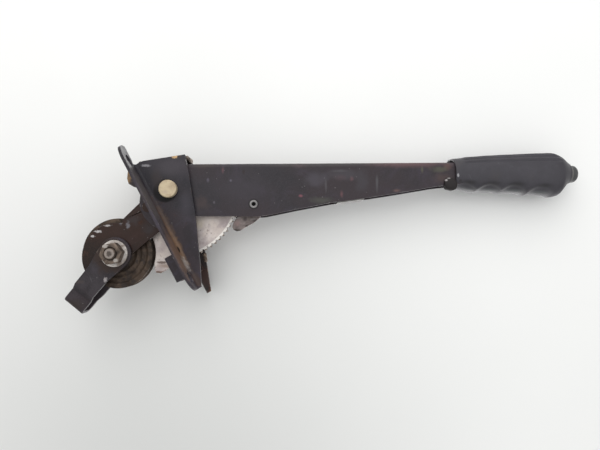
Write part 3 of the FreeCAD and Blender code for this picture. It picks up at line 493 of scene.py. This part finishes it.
BUTTON_PLASTIC = moulded("button_grey_plastic", (0.046, 0.047, 0.048), rough=0.4, blots=button_spots)
tongue_painted_highlights = [
    # painted highlights on the tongue's upper-left rim
    spot((241.0, 8.8, -15), (1.6, 1.5, 4), (0.40, 0.37, 0.37), 0.85, 0.6, 0.5, 500.0),
    spot((243.4, 10.6, -15), (2.2, 1.0, 4), (0.40, 0.37, 0.37), 0.85, 0.6, 0.5, 500.0),
]
TONGUE_PLASTIC = moulded("tongue_dark_plastic", (0.0085, 0.0056, 0.0058), 0.6, tongue_painted_highlights, 0.001)

NODE_MATERIALS = {
    "bracket_right_plate": BRACKET_PAINT, "bracket_left_plate": FAR_PAINT,
    "bracket_rear_bridge": FAR_PAINT, "sector_support_left": FAR_PAINT,
    "sector_support_right": BRACKET_PAINT, "ratchet_sector": SECTOR_ZINC,
    "pivot_pin": PIN_YELLOW, "pivot_washer": BRIGHT_ZINC, "pivot_circlip": SPRING_STEEL,
    "lever_channel": LEVER_PAINT, "pivot_spacers": BRIGHT_ZINC, "arm_plate_left": ARM_PAINT,
    "arm_plate_right": ARM_PAINT, "arm_rivets": ARM_PAINT, "cable_guard": GUARD_PAINT,
    "pulley_bolt": NUT_ZINC, "pulley_nut": NUT_ZINC, "pulley_washers": WASHER_ZINC,
    "pulley_bush": BRIGHT_ZINC, "cable_pulley": PULLEY_STEEL, "pawl": PAWL_ZINC,
    "pawl_link_pin": BRIGHT_ZINC, "pawl_rivet": RIVET_STEEL, "pawl_spacers": BRIGHT_ZINC,
    "release_rod": BRIGHT_ZINC, "rod_collar": BRIGHT_ZINC, "rod_spring": SPRING_STEEL,
    "spring_seat": LEVER_PAINT, "rod_guide": GUIDE_ZINC, "grip": GRIP_PLASTIC,
    "push_button": BUTTON_PLASTIC,
}
SOFT_EDGES = {
    "bracket_right_plate": 0.45, "bracket_left_plate": 0.45, "bracket_rear_bridge": 0.4,
    "sector_support_left": 0.35, "sector_support_right": 0.35, "ratchet_sector": 0.22,
    "arm_plate_left": 0.45, "arm_plate_right": 0.45,
    "cable_guard": 0.5, "pawl": 0.3, "pulley_washers": 0.3, "pawl_rivet": 0.25,
    "pivot_pin": 0.4, "pivot_washer": 0.25, "pivot_circlip": 0.2, "rod_guide": 0.25,
}
MERGE = 2e-6


def dress(node):
    """Gives a CAD node its finish, and rounds its edges with modifiers."""
    obj = NODES[node]
    obj.data.materials.clear()
    obj.data.materials.append(NODE_MATERIALS[node])
    width = SOFT_EDGES.get(node)
    if width is None:
        return
    normals = obj.data.attributes.get("custom_normal")
    if normals is not None:
        obj.data.attributes.remove(normals)
    obj.data.polygons.foreach_set("use_smooth", [True] * len(obj.data.polygons))
    weld = obj.modifiers.new("joined", "WELD")
    weld.merge_threshold = MERGE
    bevel = obj.modifiers.new("soft_edges", "BEVEL")
    bevel.width = width * MM
    bevel.segments = 2
    bevel.limit_method = "ANGLE"
    bevel.angle_limit = math.radians(35)
    flat = obj.modifiers.new("flat_faces", "WEIGHTED_NORMAL")
    flat.weight = 60


for node in NODES:
    dress(node)


# ---------------------------------------------------------------- mesh helpers
def make_piece(name, verts, faces, material, body, stands_for=(), smooth=True):
    mesh = bpy.data.meshes.new(name)
    mesh.from_pydata(verts, [], faces)
    bm = bmesh.new()
    bm.from_mesh(mesh)
    bmesh.ops.recalc_face_normals(bm, faces=bm.faces)
    bm.to_mesh(mesh)
    bm.free()
    mesh.polygons.foreach_set("use_smooth", [smooth] * len(mesh.polygons))
    obj = bpy.data.objects.new(name, mesh)
    bpy.context.scene.collection.objects.link(obj)
    mesh.materials.append(material)
    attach(obj, body)
    if stands_for:
        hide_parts(*stands_for)
    return obj


def smoothstep(low, high, value):
    t = min(1.0, max(0.0, (value - low) / (high - low)))
    return t * t * (3 - 2 * t)


def tube_mesh(rings, closed_ends=True):
    """Faces joining equal rings of points, with a fan on each end."""
    count = len(rings[0])
    verts = [p for ring in rings for p in ring]
    faces = []
    for i in range(len(rings) - 1):
        for j in range(count):
            k = (j + 1) % count
            faces.append((i * count + j, i * count + k, (i + 1) * count + k, (i + 1) * count + j))
    if closed_ends:
        for ring_at, index in ((0, 0), (len(rings) - 1, (len(rings) - 1) * count)):
            centre = sum((Vector(p) for p in rings[ring_at]), Vector()) / count
            verts.append(centre)
            hub = len(verts) - 1
            faces += [(index + j, index + (j + 1) % count, hub) for j in range(count)]
    return verts, faces


# ---------------------------------------------------------------- grip, moulded with ribs and finger grooves
GRIP_TOP = [(247.0, 29.0), (252.0, 29.6), (277.0, 31.7), (307.0, 33.3), (327.5, 34.2), (337.0, 34.5),
            (343.0, 34.0), (349.0, 31.3), (353.6, 27.8), (355.8, 26.0)]
GRIP_BOTTOM = [(247.0, 2.6), (255.0, 1.0), (266.0, -1.5), (290.6, -2.0), (314.6, -3.5), (334.0, -4.9),
               (341.0, -5.0), (345.0, -3.6), (350.6, 2.4), (354.2, 6.4), (355.8, 7.6)]
GRIP_WIDE = [(247.0, 14.4), (252.0, 14.9), (264.6, 15.5), (300.0, 15.9), (330.0, 16.4), (341.0, 16.5),
             (346.0, 15.4), (350.6, 12.8), (354.2, 10.4), (355.8, 9.7)]
FINGERS = [(259.4, 0.85), (281.2, 1.0), (303.0, 1.0), (326.8, 1.05)]
FINGER_HALF = 11.6
SCOOP_DEPTH, UNDER_DEPTH = 2.0, 1.3
RIB_PITCH = math.radians(8.2)
RIB_HEIGHT = 0.62
MOUTH_A, END_A = 250.8, 355.6
MOUTH_LEAD = 1.6
BUTTON_B = 16.2


def on_line(table, a):
    if a <= table[0][0]:
        return table[0][1]
    for (a0, v0), (a1, v1) in zip(table, table[1:]):
        if a <= a1:
            return v0 + (v1 - v0) * (a - a0) / (a1 - a0)
    return table[-1][1]


def rounded(table, a, blur=2.2):
    """The profile with its corners eased."""
    spots = (-1.5, -0.75, 0.0, 0.75, 1.5)
    return sum(on_line(table, a + k * blur) for k in spots) / len(spots)


def grip_point(a, phi, shrink=0.0):
    """Skin point; phi is measured from the underside."""
    blur = 2.2 if a < 338 else 0.8
    top, bottom = rounded(GRIP_TOP, a, blur), rounded(GRIP_BOTTOM, a, blur)
    wide = rounded(GRIP_WIDE, a, blur)
    half, middle = (top - bottom) / 2 - shrink, (top + bottom) / 2
    wide -= shrink
    blend_to_round = smoothstep(344, 355, a)
    power = 2 / (2.5 - 0.5 * blend_to_round)
    side, up = math.sin(phi), -math.cos(phi)
    y = wide * math.copysign(abs(side) ** power, side)
    b = middle + half * math.copysign(abs(up) ** power, up)
    turn = abs(math.atan2(math.sin(phi), math.cos(phi)))
    from_top = math.pi - turn
    cut = 0.0
    for centre, depth in FINGERS:
        gap = abs(a - centre) / FINGER_HALF
        if gap < 1:
            arch = math.cos(gap * math.pi / 2)
            crease = 0.22 + 0.56 * arch ** 0.7
            spread = 0.30 if turn > crease else 0.55
            scoop = math.exp(-((turn - crease) / spread) ** 2) * SCOOP_DEPTH
            cut += depth * arch ** 0.7 * (scoop + math.exp(-(turn / 0.45) ** 2) * UNDER_DEPTH)
    rib_zone = smoothstep(1.12, 0.98, from_top) * smoothstep(256, 262, a) * smoothstep(347, 339, a)
    rib = RIB_HEIGHT * rib_zone * math.cos(from_top / RIB_PITCH * math.pi)
    normal = Vector((y / max(wide, 1) ** 2, (b - middle) / max(half, 1) ** 2)).normalized()
    y += normal.x * (rib - cut)
    b += normal.y * (rib - cut)
    grain = noise.noise(Vector((a * 0.09, y * 0.12, b * 0.12))) * 0.16
    return y + normal.x * grain, b + normal.y * grain


BORE_R, BORE_LIP, BORE_DEPTH = 8.55, 0.4, 10.0


def grip_mesh():
    around = 320
    angles = [2 * math.pi * k / around for k in range(around)]
    rings = []

    def ring(a, shrink=0.0, mouth=0.0):
        points = []
        for phi in angles:
            y, b = grip_point(a, phi, shrink)
            lead = mouth * max(0.0, -math.cos(phi)) ** 1.6 * MOUTH_LEAD
            points.append(lever_point(a - lead, b, y))
        rings.append(points)

    lip = ((12.0, 3.0), (4.0, 2.9), (0.6, 2.2), (-0.3, 1.4), (-0.7, 0.6), (-0.3, 0.1))
    for inward, shrink in lip:
        a = MOUTH_A + inward
        ring(a, shrink, smoothstep(262, 250, a))
    steps = 190
    for k in range(1, steps + 1):
        a = MOUTH_A + (END_A - MOUTH_A) * k / steps
        ring(a, 0.0, smoothstep(262, 250, a))

    def bore(a, radius, mix):
        points = []
        for phi in angles:
            y, b = grip_point(END_A, phi)
            ry, rb = radius * math.sin(phi), BUTTON_B - radius * math.cos(phi)
            points.append(lever_point(a, b + (rb - b) * mix, y + (ry - y) * mix))
        rings.append(points)

    bore(END_A + BORE_LIP, 9.0, 0.45)
    bore(END_A + BORE_LIP, 8.75, 1.0)
    bore(END_A - BORE_LIP, BORE_R, 1.0)
    bore(END_A - BORE_DEPTH, BORE_R, 1.0)
    return tube_mesh(rings)


verts, faces = grip_mesh()
make_piece("grip_moulding", verts, faces, GRIP_PLASTIC, "lever", ("grip",))


def lathe(profile, place, axis, around=96):
    """Rings of points from (distance along axis, radius) pairs in millimetres."""
    axis = axis.normalized()
    side = axis.orthogonal().normalized()
    other = axis.cross(side)
    rings = []
    for along, radius in profile:
        centre = place + axis * (along * MM)
        rings.append([centre + (side * math.cos(t) + other * math.sin(t)) * (radius * MM)
                      for t in (2 * math.pi * k / around for k in range(around))])
    return rings


button_rings = lathe([(344.2, 8.2), (344.4, 8.4), (357.4, 8.4), (357.8, 8.25), (358.0, 7.85), (358.3, 7.75),
                      (360.6, 7.7), (361.8, 7.3), (362.8, 6.5), (363.4, 5.3), (363.6, 4.2),
                      (363.4, 3.3), (363.25, 1.2)], lever_point(0, BUTTON_B), ALONG)
verts, faces = tube_mesh(button_rings)
make_piece("release_button_cap", verts, faces, BUTTON_PLASTIC, "button", ("push_button",))


TAB_A, TAB_B, TAB_Y = 245.6, 5.4, -10.8
TAB_HALF_LENGTH, TAB_HALF_WIDTH, TAB_HALF_HEIGHT = 5.8, 4.4, 5.5
TAB_SLOPE, TAB_LEVEL_A = 0.10, 245


def mouth_tab():
    """Rounded tongue of the grip that folds round the lever's lower edge at the mouth."""
    rings = []
    for k in range(25):
        t = k / 24 * math.pi
        a = TAB_A - TAB_HALF_LENGTH * math.cos(t)
        size = math.sin(t) ** 0.75 + 0.02
        ring = []
        for j in range(48):
            phi = 2 * math.pi * j / 48
            across = math.copysign(abs(math.sin(phi)) ** 0.55, math.sin(phi))
            up = math.copysign(abs(math.cos(phi)) ** 0.8, -math.cos(phi))
            y = TAB_Y + TAB_HALF_WIDTH * size ** 0.35 * across
            b = TAB_B - TAB_SLOPE * (a - TAB_LEVEL_A) + TAB_HALF_HEIGHT * size * up
            dent = 0.45 * noise.noise(Vector((a * 0.4, y * 0.3, b * 0.4)))
            ring.append(lever_point(a + dent, b + dent, y))
        rings.append(ring)
    return tube_mesh(rings)


verts, faces = mouth_tab()
make_piece("grip_mouth_tongue", verts, faces, TONGUE_PLASTIC, "lever")


# ---------------------------------------------------------------- pulley, nut, bolt
def pulley_mesh():
    half = [(8.1, 5.4), (8.6, 6.0), (12.0, 6.0), (12.6, 5.0), (16.0, 4.9), (16.5, 5.3), (17.4, 5.3),
            (17.9, 4.9), (20.6, 4.8), (21.1, 5.2), (22.0, 5.2), (22.5, 4.8), (25.4, 4.9), (26.2, 5.8),
            (26.8, 6.0), (29.9, 6.0), (30.6, 5.5), (30.7, 4.8), (30.4, 4.2), (27.2, 2.9), (24.2, 1.8),
            (23.7, 1.0), (23.7, 0.0)]
    profile = [(y, r) for r, y in half] + [(-y, r) for r, y in reversed(half[:-1])]
    rings = lathe(profile, PULLEY_AT, ACROSS, 160)
    rings.append(rings[0])
    return tube_mesh(rings, closed_ends=False)


verts, faces = pulley_mesh()
make_piece("turned_cable_pulley", verts, faces, PULLEY_STEEL, "pulley", ("cable_pulley",))

NUT_FLATS, HEX_TURN = 17.0, math.radians(10)


def hex_radius(angle):
    sector = (angle - HEX_TURN) % (math.pi / 3) - math.pi / 6
    return NUT_FLATS / 2 / math.cos(sector)


def hex_rings(y_low, y_high, bore, around=144):
    """Hexagon with chamfered corners on both faces; bore 0 leaves it solid."""
    layers = []
    chamfer_r = NUT_FLATS / 2 - 0.2
    for y, corner in ((y_low, True), (y_low, False), (y_high, False), (y_high, True)):
        ring = []
        for k in range(around):
            t = 2 * math.pi * k / around
            outer = hex_radius(t)
            drop = (outer - chamfer_r) * 0.55
            radius = min(outer, chamfer_r) if corner else outer
            inset = 0.0 if corner else drop * (1 if y == y_low else -1)
            place = PULLEY_AT + ACROSS * ((y + inset) * MM)
            ring.append(place + (ALONG * math.cos(t) + ABOVE * math.sin(t)) * (radius * MM))
        layers.append(ring)
    if bore:
        lead_in = 0.7
        for y, radius in ((y_high, bore + lead_in), (y_high - lead_in, bore),
                          (y_low + lead_in, bore), (y_low, bore + lead_in)):
            centre = PULLEY_AT + ACROSS * (y * MM)
            layers.append([centre + (ALONG * math.cos(t) + ABOVE * math.sin(t)) * (radius * MM)
                           for t in (2 * math.pi * k / around for k in range(around))])
        layers.append(layers[0])
    return layers


nut_low, nut_high = (c.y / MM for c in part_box("pulley_nut"))
verts, faces = tube_mesh(hex_rings(nut_low, nut_high, 5.0), closed_ends=False)
make_piece("chamfered_nut", verts, faces, NUT_ZINC, "lever", ("pulley_nut",), smooth=False)

THREAD_PITCH, THREAD_DEPTH, BOLT_R = 1.5, 0.8, 4.95


def thread_rings(y_low, y_high, around=72):
    rings = []
    count = int((y_high - y_low) / 0.12)
    for i in range(count + 1):
        y = y_low + (y_high - y_low) * i / count
        ease = min(1.0, (y - y_low) / 1.1)
        ring = []
        for k in range(around):
            t = 2 * math.pi * k / around
            phase = (y / THREAD_PITCH + t / (2 * math.pi)) % 1.0
            depth = THREAD_DEPTH * abs(2 * phase - 1)
            radius = min(BOLT_R - depth, BOLT_R - 1.0 + ease)
            centre = PULLEY_AT + ACROSS * (y * MM)
            ring.append(centre + (ALONG * math.cos(t) + ABOVE * math.sin(t)) * (radius * MM))
        rings.append(ring)
    return rings


bolt_low, bolt_high = (c.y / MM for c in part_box("pulley_bolt"))
BOLT_HEAD = 6.4
verts, faces = tube_mesh(thread_rings(bolt_low, nut_high + 1.0))
head_verts, head_faces = tube_mesh(hex_rings(bolt_high - BOLT_HEAD, bolt_high, 0.0))
shank = lathe([(nut_high + 0.9, 4.9), (bolt_high - BOLT_HEAD + 0.1, 4.9)], PULLEY_AT, ACROSS)
shank_verts, shank_faces = tube_mesh(shank)
for more_verts, more_faces in ((head_verts, head_faces), (shank_verts, shank_faces)):
    start = len(verts)
    verts += more_verts
    faces += [tuple(i + start for i in face) for face in more_faces]
make_piece("threaded_bolt", verts, faces, NUT_ZINC, "lever", ("pulley_bolt",), smooth=False)


# ---------------------------------------------------------------- weld beads
WELD_STEEL = plated("weld_dull_steel", (0.26, 0.20, 0.155), (0.065, 0.045, 0.036), rough=0.55, metallic=0.35,
                    dirt=0.5)


def weld(name, start, end, lift, size=2.4, pitch=1.9, body="bracket"):
    """Rippled bead from start to end, crowned toward lift."""
    run = end - start
    length = run.length / MM
    forward = run.normalized()
    lift = (lift - forward * lift.dot(forward)).normalized()
    side = forward.cross(lift)
    rings = []
    count = int(length / 0.3)
    for i in range(count + 1):
        t = i / count
        ripple = 0.86 + 0.14 * abs(math.sin(math.pi * t * length / pitch))
        fade = min(1.0, 6 * t + 0.25, 6 * (1 - t) + 0.25)
        wander = 0.35 * noise.noise(Vector((t * length * 0.35, 3.1, 0.7)))
        ring = []
        for k in range(20):
            phi = 2 * math.pi * k / 20
            w = size * 0.5 * ripple * fade
            ring.append(start + run * t + side * ((w * math.cos(phi) + wander) * MM)
                        + lift * (w * 0.75 * math.sin(phi) * MM))
        rings.append(ring)
    verts, faces = tube_mesh(rings)
    return make_piece(name, verts, faces, WELD_STEEL, body)


bridge_low, bridge_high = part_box("bracket_rear_bridge")
weld("bridge_bead_top", Vector((bridge_high.x - 0.0006, bridge_low.y + 0.0006, bridge_high.z - 0.0004)),
     Vector((bridge_high.x - 0.0006, bridge_high.y - 0.0006, bridge_high.z - 0.0004)),
     Vector((0.5, 0, 1)), size=4.2, pitch=3.1)

weld("front_bead_left", Vector((0.0400, 0.0143, 0.0160)), Vector((0.0492, 0.0143, 0.0128)),
     Vector((0.35, 0, 1)), size=4.6, pitch=4.6)

for side_name, sign in (("left", 1), ("right", -1)):
    low_corner, high_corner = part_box("sector_support_" + side_name)
    y = sign * 0.0024
    for where, z in (("under", low_corner.z), ("over", low_corner.z + 0.0025)):
        lift = Vector((0, sign * 0.5, -1 if where == "under" else 1))
        weld("sector_weld_" + side_name + "_" + where, Vector((low_corner.x + 0.0015, y, z)),
             Vector((high_corner.x - 0.0015, y, z)), lift)
    y = sign * 0.0129
    weld("bridge_weld_" + side_name, Vector((bridge_low.x + 0.0003, y, bridge_low.z + 0.0018)),
         Vector((bridge_low.x + 0.0033, y, bridge_high.z - 0.0026)), Vector((-1, 0, 0.3)), size=2.2)


# ---------------------------------------------------------------- stage, camera and light
def aim(obj, target):
    obj.rotation_mode = "QUATERNION"
    obj.rotation_quaternion = (target - obj.location).to_track_quat("-Z", "Y")


CAM_A, CAM_B, CAM_Y = 106.4, -48.1, -421.0
LEAN_A, LEAN_B = 0.0170, 0.0426
camera_data = bpy.data.cameras.new("camera")
camera_data.lens = 28.2
camera_data.sensor_width = 36.0
camera_data.clip_start = 0.01
camera = bpy.data.objects.new("camera", camera_data)
bpy.context.scene.collection.objects.link(camera)
cam_forward = (ACROSS + ALONG * LEAN_A + ABOVE * LEAN_B).normalized()
cam_right = (ALONG - ACROSS * LEAN_A).normalized()
cam_up = cam_right.cross(cam_forward).normalized()
camera.matrix_world = Matrix.Translation(lever_point(CAM_A, CAM_B, CAM_Y)) @ Matrix((
    (cam_right.x, cam_up.x, -cam_forward.x, 0.0),
    (cam_right.y, cam_up.y, -cam_forward.y, 0.0),
    (cam_right.z, cam_up.z, -cam_forward.z, 0.0),
    (0.0, 0.0, 0.0, 1.0),
))
bpy.context.scene.camera = camera

FLOOR_NEAR_A, FLOOR_NEAR_Y = 25.0, 36.4
FLOOR_FAR_A, FLOOR_FAR_Y = 343.0, 17.0
slope = (FLOOR_FAR_Y - FLOOR_NEAR_Y) / (FLOOR_FAR_A - FLOOR_NEAR_A)


def floor_point(a, b):
    return lever_point(a, b, FLOOR_NEAR_Y + (a - FLOOR_NEAR_A) * slope)


FLOOR_REACH = 6000.0
floor_mesh = bpy.data.meshes.new("floor")
floor_mesh.from_pydata([floor_point(sa * FLOOR_REACH, sb * FLOOR_REACH)
                        for sa, sb in ((-1, -1), (1, -1), (1, 1), (-1, 1))], [], [(0, 1, 2, 3)])
floor = bpy.data.objects.new("floor", floor_mesh)
bpy.context.scene.collection.objects.link(floor)


def floor_material():
    """Pale table that is seen only from the object's side."""
    s = Surface("pale_table", rough=0.32, Specular_IOR_Level=0.35)
    cloud = s.noise(2.5, 3.0)
    colour = s.mix(s.step(cloud, 0.3, 0.7), (0.855, 0.858, 0.847), (0.885, 0.886, 0.876))
    # painted shade: the table is darker towards the lower left
    shade = s.near(floor_point(-10.0, -330.0), (0.50, 1.0, 0.40), 1.0, 0.0)
    colour = s.mix(s.maths("MULTIPLY", shade, 0.95), colour, (0.640, 0.645, 0.635))
    s.finish(colour, s.step(s.noise(14.0, 4.0), 0.3, 0.7, 0.30, 0.42))
    clear = s.tree.nodes.new("ShaderNodeBsdfTransparent")
    back = s.tree.nodes.new("ShaderNodeNewGeometry").outputs["Backfacing"]
    blend = s.tree.nodes.new("ShaderNodeMixShader")
    s.link(back, blend.inputs[0])
    s.link(s.bsdf.outputs[0], blend.inputs[1])
    s.link(clear.outputs[0], blend.inputs[2])
    s.link(blend.outputs[0], s.tree.nodes["Material Output"].inputs["Surface"])
    return s.mat


floor_mesh.materials.append(floor_material())

world = bpy.data.worlds.new("studio")
bpy.context.scene.world = world
world.use_nodes = True
world.node_tree.nodes["Background"].inputs["Color"].default_value = (0.955, 0.96, 0.955, 1.0)
world.node_tree.nodes["Background"].inputs["Strength"].default_value = 0.60

through_floor = bpy.data.collections.new("lit_through_floor")
through_floor.objects.link(floor)
for entry in through_floor.collection_objects:
    entry.light_linking.link_state = "EXCLUDE"


def soft_light(name, place, size, power, colour=(1.0, 1.0, 1.0), target=(110, 0, 0), behind=False):
    data = bpy.data.lights.new(name, "AREA")
    data.size = size
    data.energy = power
    data.color = colour
    obj = bpy.data.objects.new(name, data)
    bpy.context.scene.collection.objects.link(obj)
    obj.location = lever_point(*place)
    aim(obj, lever_point(*target))
    if behind:
        obj.light_linking.blocker_collection = through_floor
        obj.light_linking.receiver_collection = through_floor
    return obj


soft_light("key", (-350, 700, -1100), 1.5, 8.0, (1.0, 0.99, 0.975))
soft_light("fill", (750, 100, -1150), 1.5, 4.6, (0.97, 0.985, 1.0))
soft_light("top_strip", (150, 800, -350), 0.9, 2.6, (1.0, 1.0, 1.0))
soft_light("bounce", (150, -900, -420), 1.2, 1.0, (0.96, 1.0, 0.98))
soft_light("back_soft", (-200, 500, 1300), 1.2, 14.0, behind=True)
soft_light("back_low", (500, -600, 1000), 1.2, 8.0, behind=True)
bpy.context.scene.view_settings.view_transform = "Standard"
